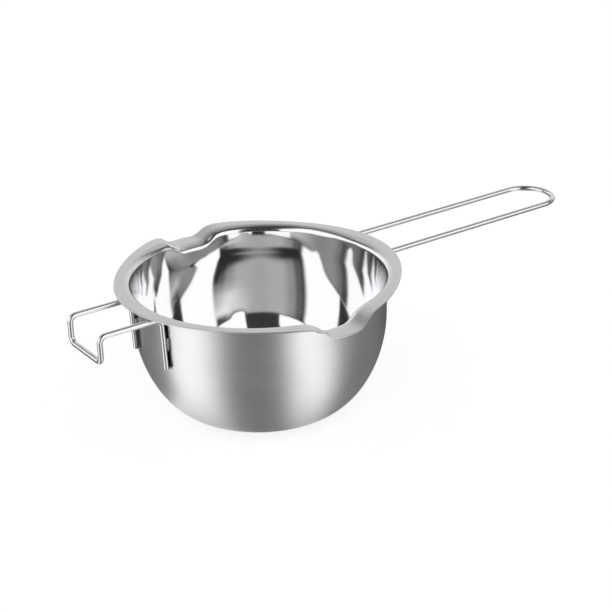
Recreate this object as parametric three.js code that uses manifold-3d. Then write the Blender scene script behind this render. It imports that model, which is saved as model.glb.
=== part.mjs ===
// Melting pot: a bowl drawn from steel sheet, with a flat flange and two pressed pouring spouts,
// a looped wire handle on one side and a bent wire hook on the other, both welded to the wall.
// Millimetres, +Z up. The origin is the middle of the flat base, and the handle points along +X.

import * as THREE from 'three';
import { mergeVertices } from 'three/addons/utils/BufferGeometryUtils.js';
import Module from 'manifold-3d';

// Bowl
const RIM_DIAMETER = 140;
const FLANGE_WIDTH = 7;
const SHEET = 0.7;
const BASE_DIAMETER = 71;
const CURVE_HEIGHT = 45;
const CURVE_POWER = 1.775;
const WALL_HEIGHT = 19.3;
const WALL_DRAFT = 0.75;
const FLANGE_BEND = 3;
const FLANGE_EAR = 1.3;

// Pouring spouts, one on each side between the handle and the hook
const SPOUT_WIDTH = 21.6;
const SPOUT_DEPTH = 5.8;
const SPOUT_POWER = 5.8;
const SPOUT_FADE = 3 * SPOUT_DEPTH;
const LIP_WIDTH = 44;
const LIP_REACH = 4.1;
const LIP_POWER = 1.5;

// Wire of the handle and the hook, and the gap between pieces that touch
const WIRE = 2.7;
const WIRE_BEND = 3.2;
const LEG_LENGTH = 26;
const SEAT_GAP = 0.3;

// Handle: a long loop, measured from the rim's circle to the outside of the loop's end
const HANDLE_SPAN = 29;
const HANDLE_LENGTH = 120;
const HANDLE_RISE = 1;

// Hook: two arms that turn down to a crossbar, measured from the rim's circle to the crossbar's outside
const HOOK_SPAN = 29;
const HOOK_REACH = 26.5;
const HOOK_DROP = 13;

// Weld beads, one along each side of each wire leg
const WELD_LENGTH = 6.5;
const WELD_SIZE = 1.4;

// Facets
const ROUND_STEPS = 80;
const SPOUT_CROWDING = 0.55;
const CURVE_STEPS = 9;
const WALL_STEPS = 4;
const BEND_STEPS = 4;
const LOOP_STEPS = 8;
const WIRE_SIDES = 12;

// Places that follow from the sizes
const RIM_RADIUS = RIM_DIAMETER / 2;
const WALL_RADIUS = RIM_RADIUS - FLANGE_WIDTH;
const WALL_TOP = CURVE_HEIGHT + WALL_HEIGHT;
const FLANGE_UNDERSIDE = WALL_TOP + FLANGE_BEND;
const ARM_HEIGHT = FLANGE_UNDERSIDE - SEAT_GAP - WIRE / 2;
const LEG_FOOT = ARM_HEIGHT - LEG_LENGTH;

// Finishes
const bowlSteel = new THREE.MeshStandardMaterial({ color: 0xc8c9ca, roughness: 0.28, metalness: 1 });
const wireSteel = new THREE.MeshStandardMaterial({ color: 0xd6d7d8, roughness: 0.15, metalness: 1 });
const weldSteel = new THREE.MeshStandardMaterial({ color: 0xa9a8a6, roughness: 0.45, metalness: 1 });

// Radius of the straight wall's outside, which widens a little towards the flange.
function wallRadiusAt(height) {
  return WALL_RADIUS - WALL_DRAFT * (WALL_TOP - height) / WALL_HEIGHT;
}

// Outside of the sheet from the middle of the base to the edge of the flange:
// the flat base, a quarter of a superellipse, the straight wall, the bend and the flange's underside.
function outsideLine() {
  const baseRadius = BASE_DIAMETER / 2;
  const curveReach = wallRadiusAt(CURVE_HEIGHT) - baseRadius;
  const line = [new THREE.Vector2(0, 0)];
  for (let step = 0; step < CURVE_STEPS; step++) {
    const angle = step / CURVE_STEPS * Math.PI / 2;
    const out = Math.sin(angle) ** (2 / CURVE_POWER);
    const up = 1 - Math.cos(angle) ** (2 / CURVE_POWER);
    line.push(new THREE.Vector2(baseRadius + curveReach * out, CURVE_HEIGHT * up));
  }
  for (let step = 0; step < WALL_STEPS; step++) {
    const height = CURVE_HEIGHT + WALL_HEIGHT * step / WALL_STEPS;
    line.push(new THREE.Vector2(wallRadiusAt(height), height));
  }
  for (let step = 0; step <= BEND_STEPS; step++) {
    const angle = step / BEND_STEPS * Math.PI / 2;
    const out = WALL_RADIUS + FLANGE_BEND * (1 - Math.cos(angle));
    line.push(new THREE.Vector2(out, WALL_TOP + FLANGE_BEND * Math.sin(angle)));
  }
  line.push(new THREE.Vector2(RIM_RADIUS, FLANGE_UNDERSIDE));
  return line;
}

// The other face of the sheet: each point moves by the sheet's thickness, square to the line.
function otherFace(line) {
  return line.map((point, index) => {
    const before = line[Math.max(index - 1, 0)];
    const after = line[Math.min(index + 1, line.length - 1)];
    const along = new THREE.Vector2().subVectors(after, before).normalize();
    return new THREE.Vector2(point.x - along.y * SHEET, point.y + along.x * SHEET);
  });
}

// A bell over a distance from the middle: 1 there, a half at half the width, and nothing far away.
function bell(across, width, power) {
  return 1 / (1 + Math.abs(2 * across / width) ** power);
}

// Shapes the flange of the turned bowl at one point. Drawing leaves it a little wider in line with
// the handle, the hook and the spouts. Each spout then sinks the flange and stretches its lip outwards,
// and the top of the wall is drawn down with it, less and less towards the bottom of the fade.
function pressFlange(point) {
  const radius = Math.hypot(point.x, point.y);
  if (radius === 0) return;
  const outwards = THREE.MathUtils.clamp((radius - WALL_RADIUS) / FLANGE_WIDTH, 0, 1);
  const ear = FLANGE_EAR * Math.cos(4 * Math.atan2(point.y, point.x));
  const lip = LIP_REACH * bell(point.x, LIP_WIDTH, LIP_POWER);
  const widen = 1 + (ear + lip) * outwards / radius;
  const depth = THREE.MathUtils.smoothstep(point.z, WALL_TOP - SPOUT_FADE, WALL_TOP);
  const sink = SPOUT_DEPTH * bell(point.x, SPOUT_WIDTH, SPOUT_POWER) * depth;
  point.set(point.x * widen, point.y * widen, point.z - sink);
}

// Bowl: the closed outline of the sheet turned about Z, with its facets crowded towards the spouts.
function bowlGeometry() {
  const outside = outsideLine();
  const inside = otherFace(outside).reverse();
  const geometry = new THREE.LatheGeometry([...outside, ...inside], ROUND_STEPS);
  geometry.rotateX(Math.PI / 2);
  const places = geometry.getAttribute('position');
  const point = new THREE.Vector3();
  for (let index = 0; index < places.count; index++) {
    point.fromBufferAttribute(places, index);
    const radius = Math.hypot(point.x, point.y);
    const even = Math.atan2(point.x, -point.y);
    const crowded = even - SPOUT_CROWDING / 2 * Math.sin(2 * even);
    point.set(radius * Math.sin(crowded), -radius * Math.cos(crowded), point.z);
    pressFlange(point);
    places.setXYZ(index, point.x, point.y, point.z);
  }
  geometry.computeVertexNormals();
  return geometry;
}

// A circular bend that is tangent to the two straights that meet at a corner.
class WireCorner extends THREE.Curve {
  constructor(before, corner, after, radius) {
    super();
    const back = new THREE.Vector3().subVectors(before, corner).normalize();
    const ahead = new THREE.Vector3().subVectors(after, corner).normalize();
    const half = back.angleTo(ahead) / 2;
    const towardsCentre = new THREE.Vector3().addVectors(back, ahead).normalize();
    this.centre = corner.clone().addScaledVector(towardsCentre, radius / Math.sin(half));
    this.start = corner.clone().addScaledVector(back, radius / Math.tan(half));
    this.spoke = new THREE.Vector3().subVectors(this.start, this.centre);
    this.sweep = back.multiplyScalar(-radius);
    this.turn = Math.PI - 2 * half;
    this.end = this.getPoint(1);
  }

  getPoint(t) {
    const angle = this.turn * t;
    const point = this.centre.clone().addScaledVector(this.spoke, Math.cos(angle));
    return point.addScaledVector(this.sweep, Math.sin(angle));
  }
}

// A bent wire's centre line. Its parameter counts stations: one along a straight, several round a bend.
class BentWire extends THREE.Curve {
  constructor(corners, radii) {
    super();
    this.stretches = [];
    this.stations = 0;
    let from = corners[0];
    for (let index = 1; index < corners.length - 1; index++) {
      const radius = radii[index - 1];
      const bend = new WireCorner(corners[index - 1], corners[index], corners[index + 1], radius);
      this.addStretch(new THREE.LineCurve3(from, bend.start), 1);
      this.addStretch(bend, radius > WIRE_BEND ? LOOP_STEPS : BEND_STEPS);
      from = bend.end;
    }
    this.addStretch(new THREE.LineCurve3(from, corners[corners.length - 1]), 1);
  }

  addStretch(curve, steps) {
    const shortest = SEAT_GAP / 2;
    if (curve.getPoint(0).distanceTo(curve.getPoint(1)) < shortest) return;
    this.stretches.push({ curve, steps, first: this.stations });
    this.stations += steps;
  }

  getUtoTmapping(u) {
    return u;
  }

  getPoint(t) {
    const station = t * this.stations;
    const stretch = this.stretches.findLast((entry) => entry.first <= station) ?? this.stretches[0];
    return stretch.curve.getPoint((station - stretch.first) / stretch.steps);
  }
}

// A round section swept along a bent wire.
function wireGeometry(path, radius) {
  const section = [];
  for (let side = 0; side < WIRE_SIDES; side++) {
    const angle = 2 * Math.PI * side / WIRE_SIDES;
    section.push(new THREE.Vector2(radius * Math.cos(angle), radius * Math.sin(angle)));
  }
  const options = { steps: path.stations, bevelEnabled: false, extrudePath: path };
  return new THREE.ExtrudeGeometry(new THREE.Shape(section), options);
}

// A point on the centre line of a wire leg, which stands along the straight wall.
// towards is 1 on the handle's side and -1 on the hook's, and offset is the leg's place along Y.
function legPoint(towards, offset, height) {
  const radius = wallRadiusAt(height) + SEAT_GAP + WIRE / 2;
  return new THREE.Vector3(towards * Math.sqrt(radius ** 2 - offset ** 2), offset, height);
}

// Handle: up one leg, out along an arm, round the loop's end, back along the other arm and down.
function handleGeometry() {
  const side = HANDLE_SPAN / 2;
  const endX = RIM_RADIUS + HANDLE_LENGTH - WIRE / 2;
  const endZ = ARM_HEIGHT + HANDLE_RISE;
  const corners = [
    legPoint(1, -side, LEG_FOOT),
    legPoint(1, -side, ARM_HEIGHT),
    new THREE.Vector3(endX, -side, endZ),
    new THREE.Vector3(endX, side, endZ),
    legPoint(1, side, ARM_HEIGHT),
    legPoint(1, side, LEG_FOOT),
  ];
  return wireGeometry(new BentWire(corners, [WIRE_BEND, side, side, WIRE_BEND]), WIRE / 2);
}

// Hook: up one leg, out along an arm, down to the crossbar, across it, and back the same way.
function hookGeometry() {
  const side = HOOK_SPAN / 2;
  const endX = -(RIM_RADIUS + HOOK_REACH - WIRE / 2);
  const barZ = ARM_HEIGHT - HOOK_DROP;
  const corners = [
    legPoint(-1, -side, LEG_FOOT),
    legPoint(-1, -side, ARM_HEIGHT),
    new THREE.Vector3(endX, -side, ARM_HEIGHT),
    new THREE.Vector3(endX, -side, barZ),
    new THREE.Vector3(endX, side, barZ),
    new THREE.Vector3(endX, side, ARM_HEIGHT),
    legPoint(-1, side, ARM_HEIGHT),
    legPoint(-1, side, LEG_FOOT),
  ];
  const bends = corners.slice(2).map(() => WIRE_BEND);
  return wireGeometry(new BentWire(corners, bends), WIRE / 2);
}

const wasm = await Module();
wasm.setup();

// A closed geometry as a solid that can be joined or cut.
function solidOf(geometry) {
  const bare = geometry.index ? geometry.clone() : geometry;
  bare.deleteAttribute('normal');
  bare.deleteAttribute('uv');
  const merged = mergeVertices(bare);
  const vertProperties = new Float32Array(merged.getAttribute('position').array);
  const triVerts = new Uint32Array(merged.index.array);
  return new wasm.Manifold(new wasm.Mesh({ numProp: 3, vertProperties, triVerts }));
}

// A cut solid as a geometry again.
function geometryOf(solid) {
  const mesh = solid.getMesh();
  const geometry = new THREE.BufferGeometry();
  geometry.setAttribute('position', new THREE.BufferAttribute(new Float32Array(mesh.vertProperties), 3));
  geometry.setIndex(new THREE.BufferAttribute(new Uint32Array(mesh.triVerts), 1));
  geometry.computeVertexNormals();
  return geometry;
}

// The straight wall with the seat gap added, as a cutter for the welds on it.
function wallCutter() {
  const top = WALL_RADIUS + SEAT_GAP;
  const bottom = wallRadiusAt(CURVE_HEIGHT) + SEAT_GAP;
  const cutter = new THREE.CylinderGeometry(top, bottom, WALL_HEIGHT, 2 * ROUND_STEPS);
  cutter.rotateX(Math.PI / 2);
  cutter.translate(0, 0, CURVE_HEIGHT + WALL_HEIGHT / 2);
  return solidOf(cutter);
}

// Weld bead: an egg-shaped lump in the groove beside a leg, trimmed to clear the leg and the wall.
function weldGeometry(towards, offset, side) {
  const foot = legPoint(towards, offset, LEG_FOOT);
  const top = legPoint(towards, offset, ARM_HEIGHT);
  const middle = new THREE.Vector3().addVectors(foot, top).multiplyScalar(0.5);
  const fromWall = new THREE.Vector3(middle.x, middle.y, 0).normalize();
  const alongWall = new THREE.Vector3(-fromWall.y, fromWall.x, 0);
  const lump = new THREE.SphereGeometry(WELD_SIZE / 2, WIRE_SIDES, WIRE_SIDES / 2);
  lump.rotateX(Math.PI / 2);
  lump.scale(1, 1, WELD_LENGTH / WELD_SIZE);
  middle.addScaledVector(fromWall, WELD_SIZE / 4 - WIRE / 2);
  middle.addScaledVector(alongWall, side * (WIRE / 2 + SEAT_GAP));
  lump.translate(middle.x, middle.y, middle.z);
  const legLine = new BentWire([foot, top], []);
  const leg = solidOf(wireGeometry(legLine, WIRE / 2 + SEAT_GAP));
  return geometryOf(solidOf(lump).subtract(leg).subtract(wallCutter()));
}

// Assembly
const pot = new THREE.Group();
pot.name = 'melting_pot';

function addPiece(name, geometry, material) {
  const piece = new THREE.Mesh(geometry, material);
  piece.name = name;
  pot.add(piece);
}

addPiece('bowl', bowlGeometry(), bowlSteel);
addPiece('handle_loop', handleGeometry(), wireSteel);
addPiece('rest_hook', hookGeometry(), wireSteel);

const wires = [
  { name: 'handle_weld', towards: 1, span: HANDLE_SPAN },
  { name: 'hook_weld', towards: -1, span: HOOK_SPAN },
];
for (const wire of wires) {
  let count = 0;
  for (const offset of [-wire.span / 2, wire.span / 2]) {
    for (const side of [-1, 1]) {
      count += 1;
      addPiece(`${wire.name}_${count}`, weldGeometry(wire.towards, offset, side), weldSteel);
    }
  }
}

export default pot;
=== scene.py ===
# %% [markdown]
# A melting pot hangs in a saucepan of hot water, and chocolate, butter or wax melts in it. It is a
# bowl drawn from one sheet of stainless steel, with a looped wire handle on one side and a bent
# wire hook on the other. This lesson dresses the pot's imported CAD model. The model is loaded as a
# fixed frame in metres, with the middle of the base at the origin, +Z up and the handle along +X.
# Every new piece is worked out in that frame, so it needs no fitting afterwards. A small helper
# reads the box of a CAD part.

# %% Load the imported model
import math

import bpy
import numpy as np
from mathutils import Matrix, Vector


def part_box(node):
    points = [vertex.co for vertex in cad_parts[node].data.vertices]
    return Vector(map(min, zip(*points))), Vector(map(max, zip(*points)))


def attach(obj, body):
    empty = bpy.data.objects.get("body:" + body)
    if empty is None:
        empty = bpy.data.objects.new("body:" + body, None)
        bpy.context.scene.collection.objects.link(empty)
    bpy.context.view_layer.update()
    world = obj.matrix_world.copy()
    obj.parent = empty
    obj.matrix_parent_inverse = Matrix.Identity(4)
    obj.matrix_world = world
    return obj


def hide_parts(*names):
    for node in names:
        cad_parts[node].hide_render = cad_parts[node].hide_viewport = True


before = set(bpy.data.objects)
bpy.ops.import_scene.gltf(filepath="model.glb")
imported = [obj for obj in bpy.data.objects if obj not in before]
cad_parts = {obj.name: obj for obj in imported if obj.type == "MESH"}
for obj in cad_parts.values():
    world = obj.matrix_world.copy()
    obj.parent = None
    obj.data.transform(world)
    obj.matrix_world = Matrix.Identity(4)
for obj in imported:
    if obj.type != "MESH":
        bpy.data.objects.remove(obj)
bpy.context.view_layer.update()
scene = bpy.context.scene
print("CAD nodes:", ", ".join(sorted(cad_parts)))

# %% [markdown]
# The camera stands in front of the hook's side and looks down into the bowl through a long lens, as
# a product photographer's does. Its place could be set by hand until the picture looks right. Here
# it is given as a turn round the pot, a lift above the table, a small roll and a distance, so each
# number means one thing. The three axes of the camera follow from the turn and the lift, and become
# the columns of its matrix.

# %% Camera
MM = 0.001
CAMERA_TURN = math.radians(-34.253)
CAMERA_LIFT = math.radians(24.085)
CAMERA_ROLL = math.radians(-1.598)
CAMERA_DISTANCE = 780.77 * MM
CAMERA_LENS = 90.95
CAMERA_SENSOR = 36.0
VIEW_CENTRE_RIGHT = 21.472 * MM
VIEW_CENTRE_UP = 45.396 * MM

towards_camera = np.array([math.sin(CAMERA_TURN), -math.cos(CAMERA_TURN), 0.0])
across_view = np.array([math.cos(CAMERA_TURN), math.sin(CAMERA_TURN), 0.0])
back = towards_camera * math.cos(CAMERA_LIFT) + np.array([0.0, 0.0, math.sin(CAMERA_LIFT)])
upright = np.cross(back, across_view)
right = math.cos(CAMERA_ROLL) * across_view + math.sin(CAMERA_ROLL) * upright
up = math.cos(CAMERA_ROLL) * upright - math.sin(CAMERA_ROLL) * across_view

camera_matrix = np.eye(4)
camera_matrix[:3, :3] = np.stack([right, up, back], axis=1)
camera_matrix[:3, 3] = VIEW_CENTRE_RIGHT * right + VIEW_CENTRE_UP * up + CAMERA_DISTANCE * back

camera = bpy.data.objects.new("camera", bpy.data.cameras.new("camera"))
camera.data.sensor_width = CAMERA_SENSOR
camera.data.lens = CAMERA_LENS
camera.matrix_world = camera_matrix.T.tolist()
scene.collection.objects.link(camera)
scene.camera = camera
print("Camera at", [round(float(value), 3) for value in camera_matrix[:3, 3]])

# %% [markdown]
# Every piece of this pot is a skin that closes on itself in one direction: rings of the bowl about
# its axis, or rings of a wire about its centre line. So one helper makes them all. It takes a grid
# of points, one row for each ring, and a middle point for each end, where a fan of triangles closes
# the skin. All of its indices are whole numpy arrays. It also lays a UV map, with the distance
# along the skin in metres and the share of a turn about it, because brushing and drawing marks
# follow those two directions.

# %% Skin helper
def skin(name, rings, first_middle, last_middle):
    """Makes a closed mesh from rings of points.

    rings has the shape rows x columns x 3. Quad (i, j) joins ring i to ring i + 1 between columns j
    and j + 1, and column numbers wrap round. The faces point outwards if (next column) x (next ring)
    points outwards.
    """
    rows, columns = rings.shape[:2]
    points = np.concatenate([rings.reshape(-1, 3), [first_middle], [last_middle]])
    number = np.arange(rows * columns).reshape(rows, columns)
    following = np.roll(number, -1, axis=1)
    quads = np.stack([number[:-1], following[:-1], following[1:], number[1:]], axis=-1).reshape(-1, 4)
    first = np.full(columns, rows * columns)
    start_fan = np.stack([first, following[0], number[0]], axis=-1)
    end_fan = np.stack([number[-1], following[-1], first + 1], axis=-1)

    mesh = bpy.data.meshes.new(name)
    mesh.from_pydata(points.tolist(), [], quads.tolist() + start_fan.tolist() + end_fan.tolist())
    mesh.polygons.foreach_set("use_smooth", np.ones(len(mesh.polygons), dtype=bool))

    step = np.linalg.norm(np.diff(rings, axis=0), axis=2).mean(axis=1)
    along = np.concatenate([[0.0], np.cumsum(step)])
    share = np.arange(columns) / columns
    low = np.stack(np.meshgrid(along, share, indexing="ij"), axis=-1)
    high = low + [0.0, 1.0 / columns]
    quad_uv = np.stack([low[:-1], high[:-1], high[1:], low[1:]], axis=2).reshape(-1, 2)
    start_uv = np.stack([low[0], high[0], low[0]], axis=1).reshape(-1, 2)
    end_uv = np.stack([low[-1], high[-1], low[-1]], axis=1).reshape(-1, 2)
    layer = mesh.uv_layers.new(name="along_and_around")
    layer.uv.foreach_set("vector", np.concatenate([quad_uv, start_uv, end_uv]).astype(np.float32).ravel())

    piece = bpy.data.objects.new(name, mesh)
    scene.collection.objects.link(piece)
    print(name, "has", rows, "rings of", columns, "points")
    return piece

# %% [markdown]
# The bowl starts as a flat disc of sheet that a press draws into a die: a flat base, a long curve,
# a nearly straight wall and a flat flange round the top. A lathe's Screw modifier could turn its
# outline, but the spouts are pressed in afterwards, so the outline is kept as arrays of radius and
# height. The curve is a quarter of a superellipse, which meets the flat base and the wall without a
# corner. The wall leans out a little, so that the bowl leaves its die. The punch shapes the inside
# and the die the outside, so each face has its own numbers. A mirror shows the least change of
# slope, and the inside's numbers are the ones that put the reflections where they belong.

# %% Outline of the drawn sheet
RIM_RADIUS = 70.0 * MM
FLANGE_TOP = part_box("bowl")[1].z
SHEET = 0.7 * MM
FLANGE_WIDTH = 7.0 * MM
FLANGE_BEND = 3.0 * MM
BASE_START = 0.02
BASE_ROWS = 24
CURVE_ROWS = 96
WALL_ROWS = 24
BEND_ROWS = 17
FLANGE_ROWS = 7
EDGE_ROWS = 11
POLISH_FADE_ROWS = 10
DIE = {"base": 35.5 * MM, "rise": 45.0 * MM, "power": 1.775, "draft": 0.75 * MM, "blend": 10.0 * MM}
PUNCH = {"base": 35.97 * MM, "rise": 52.97 * MM, "power": 1.806, "draft": 0.653 * MM, "blend": 12.4 * MM}

WALL_RADIUS = RIM_RADIUS - FLANGE_WIDTH
FLANGE_UNDERSIDE = FLANGE_TOP - SHEET
WALL_TOP = FLANGE_UNDERSIDE - FLANGE_BEND
WALL_SLOPE = DIE["draft"] / (WALL_TOP - DIE["rise"])


def wall_lean(height, tool):
    """How far the wall leans out: nothing below, a parabola round the curve's top, then a straight slope."""
    past = height - tool["rise"]
    slope = tool["draft"] / (WALL_TOP - tool["rise"])
    blended = slope * np.clip(past + tool["blend"], 0.0, 2 * tool["blend"]) ** 2 / (4 * tool["blend"])
    return np.where(past > tool["blend"], slope * past, blended)


def pressed_line(tool):
    """Radius and height along a face of the sheet, from near the axis to the flange's edge.

    The base runs level, the curve is radius = base + reach sin(t)^(2/p) and
    height = rise (1 - cos(t)^(2/p)), the wall is straight and leans, the bend is a quarter of a
    circle and the flange is level again.
    """
    wall_foot = WALL_RADIUS - tool["draft"]
    turn = np.linspace(0.0, math.pi / 2, CURVE_ROWS)[1:]
    bend = np.linspace(0.0, math.pi / 2, BEND_ROWS)[1:]
    base_out = np.linspace(BASE_START, 1.0, BASE_ROWS) * tool["base"]
    curve_out = tool["base"] + (wall_foot - tool["base"]) * np.sin(turn) ** (2 / tool["power"])
    curve_up = tool["rise"] * (1.0 - np.clip(np.cos(turn), 0.0, 1.0) ** (2 / tool["power"]))
    wall_up = np.linspace(tool["rise"], WALL_TOP, WALL_ROWS)[1:]
    wall_out = np.full_like(wall_up, wall_foot)
    bend_out = WALL_RADIUS + FLANGE_BEND * (1.0 - np.cos(bend))
    bend_up = WALL_TOP + FLANGE_BEND * np.sin(bend)
    flange_out = np.linspace(WALL_RADIUS + FLANGE_BEND, RIM_RADIUS - SHEET / 2, FLANGE_ROWS)[1:]
    body_out = np.concatenate([base_out, curve_out, wall_out])
    body_up = np.concatenate([np.zeros_like(base_out), curve_up, wall_up])
    body_out = body_out + wall_lean(body_up, tool)
    radius = np.concatenate([body_out, bend_out, flange_out])
    height = np.concatenate([body_up, bend_up, np.full_like(flange_out, FLANGE_UNDERSIDE)])
    return radius, height, len(body_out)


def sheet_outline():
    """The whole section: the outside, a half circle round the cut edge, and the inside back to the axis.

    The inside is the punch's line moved by the sheet's thickness, square to the line. polish is 1 on
    the inside and fades to 0 over the bend, because only the inside of the bowl is polished.
    """
    radius, height = pressed_line(DIE)[:2]
    punch_radius, punch_height, body = pressed_line(PUNCH)
    along_out = np.gradient(punch_radius)
    along_up = np.gradient(punch_height)
    length = np.hypot(along_out, along_up)
    inner_radius = punch_radius - SHEET * along_up / length
    inner_height = punch_height + SHEET * along_out / length
    edge = np.linspace(-math.pi / 2, math.pi / 2, EDGE_ROWS)[1:-1]
    edge_radius = RIM_RADIUS - SHEET / 2 + SHEET / 2 * np.cos(edge)
    edge_height = FLANGE_UNDERSIDE + SHEET / 2 + SHEET / 2 * np.sin(edge)
    rows_left = body + POLISH_FADE_ROWS - np.arange(len(radius))
    polished = np.clip(rows_left / POLISH_FADE_ROWS, 0.0, 1.0)
    radius = np.concatenate([radius, edge_radius, inner_radius[::-1]])
    height = np.concatenate([height, edge_height, inner_height[::-1]])
    polish = np.concatenate([np.zeros(len(polished) + len(edge)), polished[::-1]])
    return radius, height, polish


outline_radius, outline_height, outline_polish = sheet_outline()
print("Outline of", len(outline_radius), "points, up to", outline_height.max(), "m high")

# %% [markdown]
# Two pouring spouts are pressed into the flange, one on each side between the handle and the hook.
# The press sinks the flange, stretches a wide lip outwards and draws the top of the wall down and a
# little in with it. A boolean cut or a sculpted dent could show one, but pressed metal keeps its
# thickness, so both faces of the sheet move alike. Three bells over the distance from the spout's
# middle give the shape: a steep one sinks it, a wide one stretches its lip and a third draws the
# wall in. The flange also ends slightly wider at four places, which are called ears.

# %% Pressed spouts
FLANGE_EAR = 1.3 * MM
SPOUT_WIDTH = 21.6 * MM
SPOUT_DEPTH = 5.8 * MM
SPOUT_POWER = 5.8
SPOUT_FADE = 3 * SPOUT_DEPTH
LIP_WIDTH = 44.0 * MM
LIP_REACH = 4.1 * MM
LIP_POWER = 1.5
SPOUT_PULL = 0.7 * MM
PULL_WIDTH = 28.0 * MM
PULL_FADE = 26.0 * MM
PULL_POWER = 4.0
RING_POINTS = 288
SPOUT_CROWDING = 0.55


def smoothstep(value, low, high):
    """0 below low, 1 above high and 3 t^2 - 2 t^3 between them."""
    share = np.clip((value - low) / (high - low), 0.0, 1.0)
    return share * share * (3.0 - 2.0 * share)


def bell(across, width, power):
    """1 / (1 + |2 x / width|^p): 1 in the middle, a half at half the width and nothing far away."""
    return 1.0 / (1.0 + np.abs(2 * across / width) ** power)


def bowl_rings():
    """The outline turned about Z and pressed: a grid over section and angle.

    The angle starts at -Y and is crowded towards both spouts: angle = even - crowding / 2 sin(2 even).
    """
    even = np.linspace(0.0, 2 * math.pi, RING_POINTS, endpoint=False)
    angle = even - SPOUT_CROWDING / 2 * np.sin(2 * even)
    x = outline_radius[:, None] * np.sin(angle)
    y = -outline_radius[:, None] * np.cos(angle)
    z = np.repeat(outline_height[:, None], RING_POINTS, axis=1)
    stretch = FLANGE_EAR * np.cos(4 * angle) + LIP_REACH * bell(x, LIP_WIDTH, LIP_POWER)
    outwards = np.clip((outline_radius[:, None] - WALL_RADIUS) / FLANGE_WIDTH, 0.0, 1.0)
    pulled = smoothstep(z, WALL_TOP - PULL_FADE, WALL_TOP) * (1.0 - outwards)
    pull = SPOUT_PULL * bell(x, PULL_WIDTH, PULL_POWER) * pulled
    widen = 1.0 + (stretch * outwards - pull) / outline_radius[:, None]
    depth = smoothstep(z, WALL_TOP - SPOUT_FADE, WALL_TOP)
    sink = SPOUT_DEPTH * bell(x, SPOUT_WIDTH, SPOUT_POWER) * depth
    return np.stack([x * widen, y * widen, z - sink], axis=-1)


bowl = skin("drawn_bowl", bowl_rings(), [0.0, 0.0, 0.0], [0.0, 0.0, SHEET])
bowl_polish = np.concatenate([np.repeat(outline_polish, RING_POINTS), [0.0, 1.0]])
polish_layer = bowl.data.attributes.new("polish", "FLOAT", "POINT")
polish_layer.data.foreach_set("value", bowl_polish.astype(np.float32))
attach(bowl, "root")
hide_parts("bowl")

# %% [markdown]
# The handle and the hook are each one length of round wire, cut, bent in a jig and welded to the
# wall. A Blender curve with a bevel could draw them, but its corners pinch. Here the centre line is
# a list of corners with a bend radius each: straights joined by true arcs. A circle is then carried
# along it. Its axes come from crossing the line's direction with one slanted vector that no stretch
# of wire runs along, so the wire never twists or pinches.

# %% Bent wire helper
WIRE_RADIUS = 1.35 * MM
WIRE_BEND = 3.2 * MM
WIRE_SIDES = 28
WIRE_END_ROUNDING = 0.45 * MM
WIRE_END_RINGS = 6
BEND_RINGS = 12
SEAT_GAP = 0.3 * MM
SLANTED = np.array([1.0, 1.0, 1.0]) / math.sqrt(3.0)


def bend_at(before, corner, after, radius):
    """An arc that touches both straights at a corner, with its directions.

    place = start + inwards r (1 - cos(a)) + arrive r sin(a), where a runs from 0 to the angle of the bend.
    """
    arrive = (corner - before) / np.linalg.norm(corner - before)
    leave = (after - corner) / np.linalg.norm(after - corner)
    turn = math.acos(float(np.clip(arrive @ leave, -1.0, 1.0)))
    start = corner - arrive * radius * math.tan(turn / 2)
    inwards = leave - arrive * math.cos(turn)
    inwards = inwards / np.linalg.norm(inwards)
    angle = np.linspace(0.0, turn, BEND_RINGS + int(radius / MM))[:, None]
    places = start + inwards * radius * (1.0 - np.cos(angle)) + arrive * radius * np.sin(angle)
    ways = arrive * np.cos(angle) + inwards * np.sin(angle)
    return places, ways


def bent_wire(name, corners, radii):
    """A round wire along straights and bends, with its two cut ends slightly rounded."""
    corners = np.array(corners)
    bends = [bend_at(*corners[index:index + 3], radius) for index, radius in enumerate(radii)]
    first_way = bends[0][1][:1]
    last_way = bends[-1][1][-1:]
    rounding = np.linspace(0.0, math.pi / 2, WIRE_END_RINGS)[:, None]
    sunk = WIRE_END_ROUNDING * (1.0 - np.cos(rounding))
    first_end = corners[:1] + first_way * sunk
    last_end = corners[-1:] - last_way * sunk[::-1]
    first_ways = np.repeat(first_way, WIRE_END_RINGS, axis=0)
    last_ways = np.repeat(last_way, WIRE_END_RINGS, axis=0)
    places = np.concatenate([first_end, *[bend[0] for bend in bends], last_end])
    ways = np.concatenate([first_ways, *[bend[1] for bend in bends], last_ways])
    end_radius = WIRE_RADIUS - WIRE_END_ROUNDING * (1.0 - np.sin(rounding[:, 0]))
    middle_count = len(places) - 2 * len(end_radius)
    radius = np.concatenate([end_radius, np.full(middle_count, WIRE_RADIUS), end_radius[::-1]])
    side = np.cross(ways, SLANTED)
    side = side / np.linalg.norm(side, axis=1)[:, None]
    other = np.cross(ways, side)
    angle = np.linspace(0.0, 2 * math.pi, WIRE_SIDES, endpoint=False)[None, :, None]
    circle = side[:, None] * np.cos(angle) - other[:, None] * np.sin(angle)
    rings = places[:, None] + radius[:, None, None] * circle
    return skin(name, rings, corners[0], corners[-1])


def leg_point(towards, offset, height):
    """A point on the centre line of a wire leg, which stands along the straight wall."""
    radius = WALL_RADIUS - WALL_SLOPE * (WALL_TOP - height) + SEAT_GAP + WIRE_RADIUS
    return [towards * math.sqrt(radius ** 2 - offset ** 2), offset, height]


print("Wire of", 2 * WIRE_RADIUS, "m with", WIRE_SIDES, "sides")

# %% [markdown]
# The handle is a long loop. Each end of its wire stands against the wall as a leg, turns out just
# under the flange and runs along an arm to the loop's round end. Its arms rise slightly. The hook
# on the other side turns down to a crossbar, which stops behind the rim of the saucepan.

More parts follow.
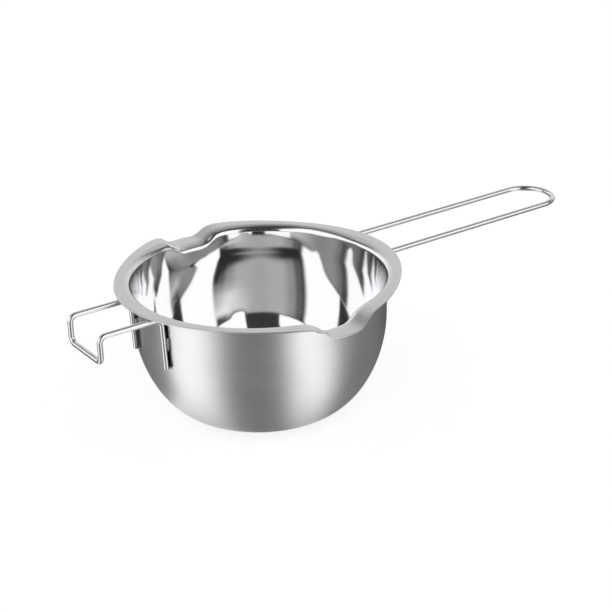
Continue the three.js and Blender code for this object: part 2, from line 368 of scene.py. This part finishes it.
# %% Handle and hook
LEG_LENGTH = 26.0 * MM
ARM_SIDE = 14.5 * MM
HANDLE_LENGTH = 120.0 * MM
HANDLE_RISE = 1.0 * MM
HOOK_REACH = 26.5 * MM
HOOK_DROP = 13.0 * MM
ARM_HEIGHT = FLANGE_UNDERSIDE - SEAT_GAP - WIRE_RADIUS
LEG_FOOT = ARM_HEIGHT - LEG_LENGTH
HANDLE_END = RIM_RADIUS + HANDLE_LENGTH - WIRE_RADIUS
HOOK_END = -(RIM_RADIUS + HOOK_REACH - WIRE_RADIUS)

handle_corners = [
    leg_point(1, -ARM_SIDE, LEG_FOOT),
    leg_point(1, -ARM_SIDE, ARM_HEIGHT),
    [HANDLE_END, -ARM_SIDE, ARM_HEIGHT + HANDLE_RISE],
    [HANDLE_END, ARM_SIDE, ARM_HEIGHT + HANDLE_RISE],
    leg_point(1, ARM_SIDE, ARM_HEIGHT),
    leg_point(1, ARM_SIDE, LEG_FOOT),
]
handle = bent_wire("wire_handle", handle_corners, [WIRE_BEND, ARM_SIDE, ARM_SIDE, WIRE_BEND])

hook_corners = [
    leg_point(-1, -ARM_SIDE, LEG_FOOT),
    leg_point(-1, -ARM_SIDE, ARM_HEIGHT),
    [HOOK_END, -ARM_SIDE, ARM_HEIGHT],
    [HOOK_END, -ARM_SIDE, ARM_HEIGHT - HOOK_DROP],
    [HOOK_END, ARM_SIDE, ARM_HEIGHT - HOOK_DROP],
    [HOOK_END, ARM_SIDE, ARM_HEIGHT],
    leg_point(-1, ARM_SIDE, ARM_HEIGHT),
    leg_point(-1, ARM_SIDE, LEG_FOOT),
]
hook = bent_wire("wire_hook", hook_corners, [WIRE_BEND] * 6)

for piece, node in ((handle, "handle_loop"), (hook, "rest_hook")):
    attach(piece, "root")
    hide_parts(node)
print("Handle reaches", HANDLE_END + WIRE_RADIUS, "m and the hook", HOOK_END - WIRE_RADIUS, "m")

# %% [markdown]
# The legs are welded to the wall, with a bead along each side of each leg. A weld freezes in
# ripples, one for each pulse of the arc, so a plain egg shape would look like a pebble. Here the
# egg's radius carries small waves along its length and a slower unevenness around it. One loop
# makes all eight beads, each with its own phase.

# %% Weld beads
WELD_LENGTH = 6.5 * MM
WELD_RADIUS = 0.7 * MM
WELD_RIPPLES = 7
WELD_RIPPLE_DEPTH = 0.07
WELD_RINGS = 42
WELD_SIDES = 24
WELD_PHASE = 1.7


def weld_bead(name, middle, phase):
    """An egg along Z: radius = r sqrt(sin(t)) (1 + d cos(2 n t + phase) + d cos(2 a + phase)).

    t runs from end to end, a runs around, n is the number of ripples and d is their depth.
    """
    turn = np.linspace(0.0, math.pi, WELD_RINGS)[1:-1][:, None]
    angle = np.linspace(0.0, 2 * math.pi, WELD_SIDES, endpoint=False)[None, :]
    uneven = 1.0 + WELD_RIPPLE_DEPTH * np.cos(2 * WELD_RIPPLES * turn + phase)
    uneven = uneven + WELD_RIPPLE_DEPTH * np.cos(2 * angle + phase)
    radius = WELD_RADIUS * np.sqrt(np.sin(turn)) * uneven
    height = np.repeat(-WELD_LENGTH / 2 * np.cos(turn), angle.size, axis=1)
    rings = np.stack([radius * np.cos(angle), radius * np.sin(angle), height], axis=-1) + middle
    end = np.array([0.0, 0.0, WELD_LENGTH / 2])
    return skin(name, rings, middle - end, middle + end)


beads = []
for wire_name, towards in (("handle", 1), ("hook", -1)):
    for offset in (-ARM_SIDE, ARM_SIDE):
        for side in (-1, 1):
            foot = np.array(leg_point(towards, offset, LEG_FOOT))
            top = np.array(leg_point(towards, offset, ARM_HEIGHT))
            middle = (foot + top) / 2
            from_wall = np.array([middle[0], middle[1], 0.0]) / math.hypot(middle[0], middle[1])
            along_wall = np.array([-from_wall[1], from_wall[0], 0.0])
            middle = middle + from_wall * (WELD_RADIUS / 2 - WIRE_RADIUS)
            middle = middle + along_wall * side * (WIRE_RADIUS + SEAT_GAP)
            number = len(beads) % 4 + 1
            bead = weld_bead(f"{wire_name}_bead_{number}", middle, WELD_PHASE * len(beads))
            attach(bead, "root")
            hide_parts(f"{wire_name}_weld_{number}")
            beads.append(bead)
print(len(beads), "weld beads")

# %% [markdown]
# Finishes are made of shader nodes, and a tree of nodes is easier to read as a formula. So one
# small class wraps an output socket: plus, minus, times and so on add a Math node, and the
# reflected forms let a number come first, as in 1 - mask. Any other node comes from one method,
# which sets the node's settings first and its sockets after them.

# %% Shader sockets
class Socket:
    """An output in a node tree, or the bare tree itself. Operators on an output add Math nodes."""

    def __init__(self, tree, output=None):
        self.tree = tree
        self.output = output

    def node(self, kind, settings=None, inputs=None, take=0):
        """Adds a node, gives it its settings and then its sockets' values, and returns one output."""
        made = self.tree.nodes.new(kind)
        for name, value in (settings or {}).items():
            setattr(made, name, value)
        for name, value in (inputs or {}).items():
            if isinstance(value, Socket):
                self.tree.links.new(value.output, made.inputs[name])
            else:
                made.inputs[name].default_value = value
        return Socket(self.tree, made.outputs[take] if len(made.outputs) else None)

    def math(self, operation, *values):
        return self.node("ShaderNodeMath", {"operation": operation}, dict(enumerate(values)))

    def __add__(self, other):
        return self.math("ADD", self, other)

    def __radd__(self, other):
        return self.math("ADD", other, self)

    def __sub__(self, other):
        return self.math("SUBTRACT", self, other)

    def __rsub__(self, other):
        return self.math("SUBTRACT", other, self)

    def __mul__(self, other):
        return self.math("MULTIPLY", self, other)

    def __rmul__(self, other):
        return self.math("MULTIPLY", other, self)

    def __truediv__(self, other):
        return self.math("DIVIDE", self, other)

    def __pow__(self, other):
        return self.math("POWER", self, other)

    def __abs__(self):
        return self.math("ABSOLUTE", self)

    def least(self, other):
        return self.math("MINIMUM", self, other)

    def most(self, other):
        return self.math("MAXIMUM", self, other)

    def rise(self, low, high):
        """0 below low, 1 above high and a smooth step between them."""
        ends = {"Value": self, "From Min": low, "From Max": high}
        return self.node("ShaderNodeMapRange", {"interpolation_type": "SMOOTHSTEP"}, ends)

    def towards(self, other, share):
        """This value where share is 0 and the other where it is 1."""
        return self.node("ShaderNodeMix", {"data_type": "FLOAT"}, {0: share, 2: self, 3: other})

    def dot(self, direction):
        inputs = {0: self, 1: tuple(direction)}
        return self.node("ShaderNodeVectorMath", {"operation": "DOT_PRODUCT"}, inputs, "Value")

    def noise(self, vector, scale, detail=2.0, rough=0.5):
        inputs = {"Vector": vector, "Scale": scale, "Detail": detail, "Roughness": rough}
        return self.node("ShaderNodeTexNoise", None, inputs)

    def vector(self, x, y, z):
        return self.node("ShaderNodeCombineXYZ", None, {0: x, 1: y, 2: z})

    def colour(self, dark, light, share):
        """A mix of two colours by a share that varies over the surface."""
        inputs = {0: share, 6: (*dark, 1.0), 7: (*light, 1.0)}
        return self.node("ShaderNodeMix", {"data_type": "RGBA"}, inputs, 2)

    def stain(self, stain, share):
        """This colour, covered by another where share is 1."""
        return self.node("ShaderNodeMix", {"data_type": "RGBA"}, {0: share, 6: self, 7: (*stain, 1.0)}, 2)

    def bump(self, height, distance, normal=None):
        inputs = {"Height": height, "Strength": 1.0, "Distance": distance}
        if normal is not None:
            inputs["Normal"] = normal
        return self.node("ShaderNodeBump", None, inputs)


def new_finish(name):
    """An empty material and its bare tree."""
    finish = bpy.data.materials.new(name)
    finish.use_nodes = True
    finish.node_tree.nodes.clear()
    return finish, Socket(finish.node_tree)


print("Shader sockets ready")

# %% [markdown]
# The bowl has two finishes on one sheet. The outside and the flange are satin: an abrasive belt has
# brushed them in circles, which leaves fine lines round the axis. The inside is polished like a
# mirror, with the last traces of the buffing wheel as rings on the base and a slight waviness from
# drawing. The polish attribute tells the two apart. The lines are noise that is stretched round the
# axis: it reads the direction from the axis, which changes slowly, and the distance along the
# section, which changes fast. Beside each leg, a nearly black strip of painted shade lies on the
# outside, where the narrow gap between the wire and the wall is in shade.

# %% Bowl finish
STEEL_DARK = (0.585, 0.585, 0.59)
STEEL_LIGHT = (0.65, 0.65, 0.652)
# Painted shade: the nearly black colour laid where a wire leg meets the wall, on the wall and on the wire.
CREVICE_SHADE_COLOUR = (0.035, 0.033, 0.031)
SATIN_ROUGHNESS = 0.3
FLANGE_ROUGHNESS = 0.36
POLISHED_ROUGHNESS = 0.055
LINES_AROUND = 6
LINES_ALONG = 800
BANDS_AROUND = 2
BANDS_ALONG = 160
RINGS_OUTWARDS = 900
CLOUD_SCALE = 60.0
WAVE_SCALE = 75.0
FLANGE_SPAN = (64.5 * MM, 66 * MM)
INNER_BASE_SPAN = (30 * MM, 44 * MM)
WAVE_HEIGHT = 0.006 * MM
RING_HEIGHT = 0.002 * MM
BRUSH_HEIGHT = 0.002 * MM
# Painted shade beside each leg: how dark it is, how its edge wanders, how wide it is and how it fades at the
# leg's ends.
CREVICE_SHADE = 0.85
CREVICE_SHADE_WANDER = 1.2 * MM
CREVICE_SHADE_SPAN = (0.9 * MM, 2.2 * MM)
CREVICE_SHADE_FADE = 1 * MM
WIRE_SIDE_SPAN = (50 * MM, 52 * MM)


def bowl_finish():
    """Satin and polished steel, mixed by the polish attribute, with painted shade beside the legs."""
    finish, tree = new_finish("drawn_steel")
    place = tree.node("ShaderNodeTexCoord", take="Object")
    along_and_around = tree.node("ShaderNodeTexCoord", take="UV")
    polish = tree.node("ShaderNodeAttribute", {"attribute_name": "polish"}, take="Fac")
    x = place.dot((1, 0, 0))
    y = place.dot((0, 1, 0))
    z = place.dot((0, 0, 1))
    along = along_and_around.dot((1, 0, 0))
    radius = (x * x + y * y) ** 0.5
    round_x = x / (radius + 0.0001)
    round_y = y / (radius + 0.0001)

    line_place = tree.vector(round_x * LINES_AROUND, round_y * LINES_AROUND, along * LINES_ALONG)
    band_place = tree.vector(round_x * BANDS_AROUND, round_y * BANDS_AROUND, along * BANDS_ALONG)
    lines = tree.noise(line_place, 1.0)
    broad = tree.noise(band_place, 1.0)
    clouds = tree.noise(place, CLOUD_SCALE, 3.0)
    rings = tree.noise(tree.vector(0.0, 0.0, radius * RINGS_OUTWARDS), 1.0)
    waves = tree.noise(place, WAVE_SCALE, 1.0)

    shade = (0.3 * lines + 0.3 * broad + 0.4 * clouds).rise(0.2, 0.8)
    flange = radius.rise(*FLANGE_SPAN)
    satin = SATIN_ROUGHNESS + (FLANGE_ROUGHNESS - SATIN_ROUGHNESS) * flange
    satin = satin + 0.03 * (lines - 0.5) + 0.02 * (broad - 0.5)
    polished = POLISHED_ROUGHNESS + 0.03 * clouds.rise(0.45, 0.8)
    roughness = satin.towards(polished, polish)

    # Painted shade: a nearly black strip on the outside of the wall along each leg, where the gap between
    # wire and wall is in shade.
    from_leg = abs(abs(y) - ARM_SIDE) + CREVICE_SHADE_WANDER * (clouds - 0.5)
    beside_leg = (1 - from_leg.rise(*CREVICE_SHADE_SPAN)) * abs(x).rise(*WIRE_SIDE_SPAN)
    above_foot = z.rise(LEG_FOOT - CREVICE_SHADE_FADE, LEG_FOOT + CREVICE_SHADE_FADE)
    along_leg = above_foot * (1 - z.rise(WALL_TOP, WALL_TOP + CREVICE_SHADE_FADE))
    painted_shade = CREVICE_SHADE * beside_leg * along_leg * (1 - polish)

    inner_base = (1 - radius.rise(*INNER_BASE_SPAN)) * polish
    wavy = tree.bump(waves * polish, WAVE_HEIGHT)
    ringed = tree.bump(rings * inner_base, RING_HEIGHT, wavy)
    brushed = tree.bump(broad * (1 - polish), BRUSH_HEIGHT, ringed)

    inputs = {
        # The base colour carries the painted shade beside the legs.
        "Base Color": tree.colour(STEEL_DARK, STEEL_LIGHT, shade).stain(CREVICE_SHADE_COLOUR, painted_shade),
        "Metallic": 1.0,
        "Roughness": roughness,
        "Normal": brushed,
    }
    steel = tree.node("ShaderNodeBsdfPrincipled", None, inputs)
    tree.node("ShaderNodeOutputMaterial", None, {"Surface": steel})
    return finish


bowl.data.materials.append(bowl_finish())
print("Bowl finish has", len(bowl.active_material.node_tree.nodes), "nodes")

# %% [markdown]
# Stainless wire is drawn through a die, which leaves faint lines along its length, and is then
# tumbled bright. The UV map gives both directions: noise that is long along the wire and fine
# around it makes the drawing lines. The side of each leg that faces the wall gets painted shade,
# nearly black, and its distance from the axis tells where that is.

# %% Wire finish
WIRE_ROUGHNESS = 0.19
WIRE_LINES_ALONG = 120
WIRE_LINES_AROUND = 9
WIRE_CLOUD_SCALE = 220.0
WIRE_LINE_HEIGHT = 0.0006 * MM
# Painted shade on the side of each leg that faces the wall: how dark, how its edge wanders and where it
# lies.
LEG_SIDE_SHADE = 0.9
LEG_SIDE_SHADE_WANDER = 0.8 * MM
LEG_SIDE_SHADE_SPAN = (63.5 * MM, 64.3 * MM)


def wire_finish():
    """Bright drawn wire with fine lines along it, and painted shade on each leg's side towards the wall."""
    finish, tree = new_finish("drawn_wire")
    place = tree.node("ShaderNodeTexCoord", take="Object")
    along_and_around = tree.node("ShaderNodeTexCoord", take="UV")
    along = along_and_around.dot((1, 0, 0))
    turn = along_and_around.dot((0, 2 * math.pi, 0))
    sine = turn.math("SINE", turn)
    cosine = turn.math("COSINE", turn)
    line_place = tree.vector(along * WIRE_LINES_ALONG, sine * WIRE_LINES_AROUND, cosine * WIRE_LINES_AROUND)
    lines = tree.noise(line_place, 1.0, 3.0, 0.6)
    clouds = tree.noise(place, WIRE_CLOUD_SCALE)
    roughness = WIRE_ROUGHNESS + 0.03 * lines.rise(0.4, 0.75) + 0.02 * clouds.rise(0.5, 0.8)
    x = place.dot((1, 0, 0))
    y = place.dot((0, 1, 0))
    radius = (x * x + y * y) ** 0.5
    # Painted shade: the part of a leg nearer the axis than this span faces the wall and is darkened nearly
    # to black.
    painted_shade = LEG_SIDE_SHADE * (1 - (radius + LEG_SIDE_SHADE_WANDER * (clouds - 0.5)).rise(*LEG_SIDE_SHADE_SPAN))
    shade = (0.6 * lines + 0.4 * clouds).rise(0.3, 0.7)
    inputs = {
        # The base colour carries the painted shade on the legs' wall side.
        "Base Color": tree.colour(STEEL_DARK, STEEL_LIGHT, shade).stain(CREVICE_SHADE_COLOUR, painted_shade),
        "Metallic": 1.0,
        "Roughness": roughness,
        "Normal": tree.bump(lines, WIRE_LINE_HEIGHT),
    }
    steel = tree.node("ShaderNodeBsdfPrincipled", None, inputs)
    tree.node("ShaderNodeOutputMaterial", None, {"Surface": steel})
    return finish


wire_steel = wire_finish()
handle.data.materials.append(wire_steel)
hook.data.materials.append(wire_steel)
print("Wire finish has", len(wire_steel.node_tree.nodes), "nodes")

# %% [markdown]
# A weld is duller than the sheet beside it. Heat leaves a thin oxide from dark grey to straw brown,
# and the frozen metal is rough. Both vary in small blotches, so noise drives the colour, the
# roughness and a small bump.

# %% Weld finish
WELD_GREY = (0.12, 0.12, 0.125)
WELD_STRAW = (0.22, 0.205, 0.19)
WELD_ROUGHNESS = 0.32
BLOTCH_SCALE = 900.0
GRAIN_SCALE = 4000.0
GRAIN_HEIGHT = 0.02 * MM


def weld_finish():
    """Dull, blotchy weld metal."""
    finish, tree = new_finish("weld_metal")
    place = tree.node("ShaderNodeTexCoord", take="Object")
    blotches = tree.noise(place, BLOTCH_SCALE, 3.0)
    grains = tree.noise(place, GRAIN_SCALE)
    inputs = {
        "Base Color": tree.colour(WELD_GREY, WELD_STRAW, blotches.rise(0.35, 0.7)),
        "Metallic": 1.0,
        "Roughness": WELD_ROUGHNESS + 0.2 * blotches,
        "Normal": tree.bump(grains, GRAIN_HEIGHT),
    }
    steel = tree.node("ShaderNodeBsdfPrincipled", None, inputs)
    tree.node("ShaderNodeOutputMaterial", None, {"Surface": steel})
    return finish


weld_steel = weld_finish()
for bead in beads:
    bead.data.materials.append(weld_steel)
print("Weld finish has", len(weld_steel.node_tree.nodes), "nodes")

# %% [markdown]
# Bright steel has no look of its own: it shows what stands round it. The studio for this pot has a
# tall softbox on each side of the camera, a dim room behind it, a white backdrop behind the pot, a
# low strip of light at the left and a ceiling that is pale at the back. The table mirrors as a pool
# of light on each side of a shade. Lamps and cards could stand there as objects, but they would get
# in the way of other views. So the world paints them by direction, for glossy rays only. Bearings
# are in degrees from the direction of the camera, positive to its right, and lifts are in degrees
# above the horizon. Rays from the camera and from the floor see an even white.

# %% Light on the table
DEGREES = 180 / math.pi
TABLE_SHADE = 0.23
TABLE_EDGE = 0.09
TABLE_EDGE_FACING = (60, 80)
LEFT_POOL = 1.4
LEFT_POOL_OPENS = (-49, -39)
LEFT_POOL_CLOSES = (-29, -11)
LEFT_POOL_LEAN = 1.3
LEFT_POOL_LEAN_TILT = 20
RIGHT_POOL = 1.35
RIGHT_POOL_OPENS = (6, 21)
RIGHT_POOL_CLOSES = (26, 43)
POOL_FADE = 0.62
POOL_FADE_TILT = (8, 45)


def table_light(direction):
    """Brightness below the horizon: a pool of light on each side of a shade.

    A surface that mirrors a direction to the camera faces halfway between the two. The pools go by
    that bearing, and fade as the surface tilts down.
    """
    sideways = direction.dot(across_view)
    forwards = direction.dot(towards_camera) + math.cos(CAMERA_LIFT)
    upwards = direction.dot((0, 0, 1)) + math.sin(CAMERA_LIFT)
    level = (sideways * sideways + forwards * forwards) ** 0.5
    facing = direction.math("ARCTAN2", sideways, forwards) * DEGREES
    tilt = direction.math("ARCTAN2", -1 * upwards, level) * DEGREES
    leaning = facing + LEFT_POOL_LEAN * (tilt - LEFT_POOL_LEAN_TILT).most(0)
    left = leaning.rise(*LEFT_POOL_OPENS) * (1 - facing.rise(*LEFT_POOL_CLOSES))
    right = facing.rise(*RIGHT_POOL_OPENS) * (1 - facing.rise(*RIGHT_POOL_CLOSES))
    pools = (LEFT_POOL * left + RIGHT_POOL * right) * (1 - POOL_FADE * tilt.rise(*POOL_FADE_TILT))
    return TABLE_SHADE + (TABLE_EDGE - TABLE_SHADE) * abs(facing).rise(*TABLE_EDGE_FACING) + pools


print("Table pools of", LEFT_POOL, "and", RIGHT_POOL)

# %% [markdown]
# Above the horizon each light is a patch with soft edges: a smooth step opens it at one bearing,
# another closes it, and a third ends it at its top. Patches are laid over one another as paper
# cards are, the last one on top.

# %% Studio
HORIZON = (-8, 0)
ROOM = 0.06
ROOM_BACK = 0.5
ROOM_BACK_BEARING = (130, 178)
CEILING_SIDE = 0.22
CEILING_BACK = 0.95
CEILING_LIFT = (37, 41)
CEILING_BEARING = (84, 100)
CEILING_BACK_BEARING = (114, 136)
OVERHEAD_LOSS = 0.65
OVERHEAD_LIFT = (45, 53)
SOFTBOX = 12.0
SOFTBOX_EDGE = 2.0
SOFTBOX_EDGE_BEARING = (76, 92)
SOFTBOX_TOP_BLUR = (-6, 6)
LEFT_OPENS = (-100, -89)
LEFT_CLOSES = (-24, -18)
RIGHT_OPENS = (17, 24)
RIGHT_CLOSES = (89, 99)
STRIP_OPENS = (-165, -112)
STRIP_CLOSES = (-94, -82)
STRIP_LIFT = (18, 26)
BACKDROP = 1.05
BACKDROP_HALF = 0.7
BACKDROP_SIDE = 0.28
BACKDROP_DIP = 0.1
BACKDROP_EDGE_BEARING = (96, 104)
BACKDROP_TOP_BLUR = (-1.2, 1.2)


def backdrop_light(aside):
    """Brightness of the backdrop: it grows in two steps from its sides and dips a little in the middle."""
    first_step = (BACKDROP_HALF - BACKDROP_SIDE) * aside.rise(108, 119)
    second_step = (BACKDROP - BACKDROP_HALF) * aside.rise(120, 140)
    return BACKDROP_SIDE + first_step + second_step - BACKDROP_DIP * aside.rise(152, 178)


def studio_light(tree):
    """Brightness by direction: dark room, ceiling, softboxes, backdrop and strip, each laid on the last."""
    direction = tree.node("ShaderNodeTexCoord", take="Generated")
    bearing = tree.math("ARCTAN2", direction.dot(across_view), direction.dot(towards_camera)) * DEGREES
    lift = tree.math("ARCSINE", direction.dot((0, 0, 1))) * DEGREES
    aside = abs(bearing)

    room = ROOM + ROOM_BACK * aside.rise(*ROOM_BACK_BEARING)
    overhead = 1 - OVERHEAD_LOSS * lift.rise(*OVERHEAD_LIFT)
    ceiling = CEILING_SIDE + (CEILING_BACK - CEILING_SIDE) * aside.rise(*CEILING_BACK_BEARING) * overhead
    ceiling_shown = lift.rise(*CEILING_LIFT) * aside.rise(*CEILING_BEARING)
    soft = SOFTBOX + (SOFTBOX_EDGE - SOFTBOX) * aside.rise(*SOFTBOX_EDGE_BEARING)
    left_top = (31 + 0.7 * (-24 - bearing)).least(54 - 1.6 * (-72 - bearing).most(0))
    left = bearing.rise(*LEFT_OPENS) * (1 - bearing.rise(*LEFT_CLOSES))
    left = left * (1 - (lift - left_top).rise(*SOFTBOX_TOP_BLUR))
    right_top = 48 - 1.1 * (bearing - 76).most(0)
    right = bearing.rise(*RIGHT_OPENS) * (1 - bearing.rise(*RIGHT_CLOSES))
    right = right * (1 - (lift - right_top).rise(*SOFTBOX_TOP_BLUR))
    strip = bearing.rise(*STRIP_OPENS) * (1 - bearing.rise(*STRIP_CLOSES)) * (1 - lift.rise(*STRIP_LIFT))
    backdrop_top = 27.5 + 0.07 * (aside - 100)
    backdrop = aside.rise(*BACKDROP_EDGE_BEARING) * (1 - (lift - backdrop_top).rise(*BACKDROP_TOP_BLUR))

    light = room.towards(ceiling, ceiling_shown)
    light = light.towards(soft, left)
    light = light.towards(soft, right)
    light = light.towards(backdrop_light(aside), backdrop)
    light = light.towards(SOFTBOX_EDGE, strip)
    return table_light(direction).towards(light, lift.rise(*HORIZON))


def studio():
    """White for the camera and the floor, the painted studio for glossy rays."""
    world = bpy.data.worlds.new("studio")
    world.use_nodes = True
    world.node_tree.nodes.clear()
    world.cycles.sampling_method = "NONE"
    tree = Socket(world.node_tree)
    glossy = tree.node("ShaderNodeLightPath", take="Is Glossy Ray")
    shown = studio_light(tree)
    plain = 1 - glossy
    background = tree.node("ShaderNodeBackground", None, {"Color": plain + glossy * shown, "Strength": 1.0})
    tree.node("ShaderNodeOutputWorld", None, {"Surface": background})
    return world


scene.world = studio()
print("Studio has", len(scene.world.node_tree.nodes), "nodes")

# %% [markdown]
# The table is white, so the camera sees no edge between it and the backdrop. It is a mix of three
# things: a white glow with a faint soft shadow for the camera, plain white for scattered light, and
# nothing at all for glossy rays, because the studio's own light below the horizon already stands
# for what the steel mirrors of the table.

# %% Floor
FLOOR_HALF = 3.0
FLOOR_GLOW = 0.72
FLOOR_SHADOW = 0.3


def floor_finish():
    """White with a faint shadow to the camera, and open to the rays that the steel mirrors."""
    finish, tree = new_finish("white_table")
    finish.cycles.emission_sampling = "NONE"
    glow = tree.node("ShaderNodeEmission", None, {"Strength": FLOOR_GLOW})
    white = tree.node("ShaderNodeBsdfDiffuse", None, {"Color": (1.0, 1.0, 1.0, 1.0)})
    faint_grey = (FLOOR_SHADOW, FLOOR_SHADOW, FLOOR_SHADOW, 1.0)
    faint = tree.node("ShaderNodeBsdfDiffuse", None, {"Color": faint_grey})
    seen = tree.node("ShaderNodeAddShader", None, {0: glow, 1: faint})
    open_way = tree.node("ShaderNodeBsdfTransparent")
    camera_ray = tree.node("ShaderNodeLightPath", take="Is Camera Ray")
    glossy_ray = tree.node("ShaderNodeLightPath", take="Is Glossy Ray")
    surface = tree.node("ShaderNodeMixShader", None, {0: camera_ray, 1: white, 2: seen})
    surface = tree.node("ShaderNodeMixShader", None, {0: glossy_ray, 1: surface, 2: open_way})
    tree.node("ShaderNodeOutputMaterial", None, {"Surface": surface})
    return finish


floor_corners = FLOOR_HALF * np.array([[-1, -1, 0], [1, -1, 0], [1, 1, 0], [-1, 1, 0]])
floor_mesh = bpy.data.meshes.new("floor")
floor_mesh.from_pydata(floor_corners.tolist(), [], [[0, 1, 2, 3]])
floor_mesh.materials.append(floor_finish())
floor = bpy.data.objects.new("floor", floor_mesh)
scene.collection.objects.link(floor)
print("Floor of", 2 * FLOOR_HALF, "m")

# %% [markdown]
# The polished inside throws light to and fro many times before it leaves the mouth, so the paths
# may be long and none is ended early. A sample that is brighter than white would hide the thin dark
# lines of a wire beside it, so samples are limited to white. The view transform is Standard, so
# that white stays white.

# %% Finish
GLOSSY_BOUNCES = 24
SAMPLE_LIMIT = 1.0
scene.cycles.max_bounces = GLOSSY_BOUNCES
scene.cycles.glossy_bounces = GLOSSY_BOUNCES
scene.cycles.min_light_bounces = GLOSSY_BOUNCES
scene.cycles.sample_clamp_direct = SAMPLE_LIMIT
scene.cycles.sample_clamp_indirect = SAMPLE_LIMIT
scene.view_settings.view_transform = "Standard"
